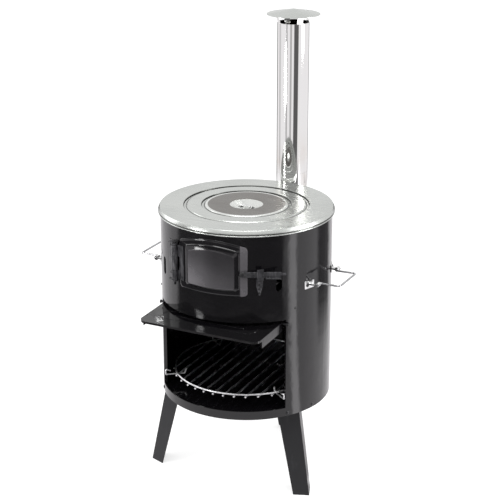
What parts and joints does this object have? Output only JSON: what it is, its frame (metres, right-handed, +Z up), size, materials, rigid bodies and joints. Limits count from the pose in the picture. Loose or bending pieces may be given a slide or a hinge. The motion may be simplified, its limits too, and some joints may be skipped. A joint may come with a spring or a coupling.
{
  "type": "outdoor stove",
  "caption": "Round enamelled steel garden stove on three legs, with a latched fire door, lower opening with a hinged flap, nested hob plates, side bails and a rear flue with a rain cap.",
  "frame": {"origin": "on the ground under the drum's vertical axis, level with the three feet", "axes": "+Z up, -Y towards the front with the fire door, +X to the right as seen from the front"},
  "size_m": [0.545, 0.5926, 1.1295],
  "materials": {
    "enamel_black": "glossy fired black enamel over sheet steel",
    "satin_black": "satin black coating on folded steel",
    "plate_steel": "galvanised and brushed steel sheet, pressed",
    "polished_steel": "mirror-polished stainless sheet",
    "chrome_wire": "bright chromed steel wire",
    "zinc": "bright zinc-plated steel",
    "cast_black": "black heat-resistant steel plate"
  },
  "bodies": {
    "drum": {"drum_shell": "enamel_black", "drum_floor": "enamel_black", "leg_front_left": "satin_black", "leg_front_right": "satin_black", "leg_rear": "satin_black", "leg_screws": "satin_black", "leg_nuts": "zinc", "hinge_bracket": "satin_black", "hinge_bracket_rivets": "satin_black", "hinge_pin": "satin_black", "latch_keeper": "satin_black", "keeper_rivets": "satin_black", "flap_hinge_rod": "satin_black", "handle_bracket_right_front": "zinc", "handle_bracket_right_rear": "zinc", "handle_bracket_left_front": "zinc", "handle_bracket_left_rear": "zinc", "handle_bolts": "satin_black", "handle_nuts": "zinc", "bed_tabs": "cast_black", "bed_tab_rivets": "cast_black", "grate_hooks": "chrome_wire", "flue_collar": "polished_steel", "flue_rivets": "polished_steel", "flue_elbow": "polished_steel"},
    "fire_door": {"fire_door": "enamel_black", "door_hinge_leaf": "satin_black", "door_leaf_rivets": "satin_black", "latch_rivet": "satin_black"},
    "latch": {"latch_lever": "satin_black"},
    "flap": {"flap_plate": "enamel_black"},
    "handle_right": {"handle_right": "chrome_wire"},
    "handle_left": {"handle_left": "chrome_wire"},
    "hob_plate": {"top_plate": "plate_steel"},
    "cooking_ring": {"cooking_ring": "plate_steel"},
    "centre_lid": {"centre_lid": "plate_steel", "lifting_bar": "plate_steel"},
    "fire_bed": {"fire_bed_plate": "cast_black"},
    "grate": {"grate_ring": "chrome_wire", "grate_bars": "chrome_wire"},
    "flue_pipe": {"flue_pipe": "polished_steel", "rain_cap": "polished_steel", "cap_struts": "polished_steel"}
  },
  "joints": [
    {"name": "door_swing", "type": "hinge", "parent": "drum", "child": "fire_door", "pos_m": [-0.09012, -0.1996, 0.594], "axis": [0, 0, -1], "range_deg": [0, 110]},
    {"name": "latch_lift", "type": "hinge", "parent": "fire_door", "child": "latch", "pos_m": [0.08664, -0.19459, 0.589], "axis": [0.4067, -0.9135, 0], "range_deg": [0, 50]},
    {"name": "flap_swing", "type": "hinge", "parent": "drum", "child": "flap", "pos_m": [0, -0.1255, 0.454], "axis": [1, 0, 0], "range_deg": [0, 88]},
    {"name": "handle_right_fold", "type": "hinge", "parent": "drum", "child": "handle_right", "pos_m": [0.218, 0, 0.541], "axis": [0, -1, 0], "range_deg": [0, 80]},
    {"name": "handle_left_fold", "type": "hinge", "parent": "drum", "child": "handle_left", "pos_m": [-0.218, 0, 0.541], "axis": [0, 1, 0], "range_deg": [0, 80]},
    {"name": "hob_plate_lift", "type": "slide", "parent": "drum", "child": "hob_plate", "axis": [0, 0, 1], "range_m": [0, 0.1]},
    {"name": "cooking_ring_lift", "type": "slide", "parent": "hob_plate", "child": "cooking_ring", "axis": [0, 0, 1], "range_m": [0, 0.1]},
    {"name": "centre_lid_lift", "type": "slide", "parent": "cooking_ring", "child": "centre_lid", "axis": [0, 0, 1], "range_m": [0, 0.1]},
    {"name": "fire_bed_lift", "type": "slide", "parent": "drum", "child": "fire_bed", "axis": [0, 0, 1], "range_m": [0, 0.15]},
    {"name": "grate_lift", "type": "slide", "parent": "drum", "child": "grate", "axis": [0, 0, 1], "range_m": [0, 0.04]},
    {"name": "flue_pipe_lift", "type": "slide", "parent": "drum", "child": "flue_pipe", "axis": [0, 0, 1], "range_m": [0, 0.06]}
  ]
}
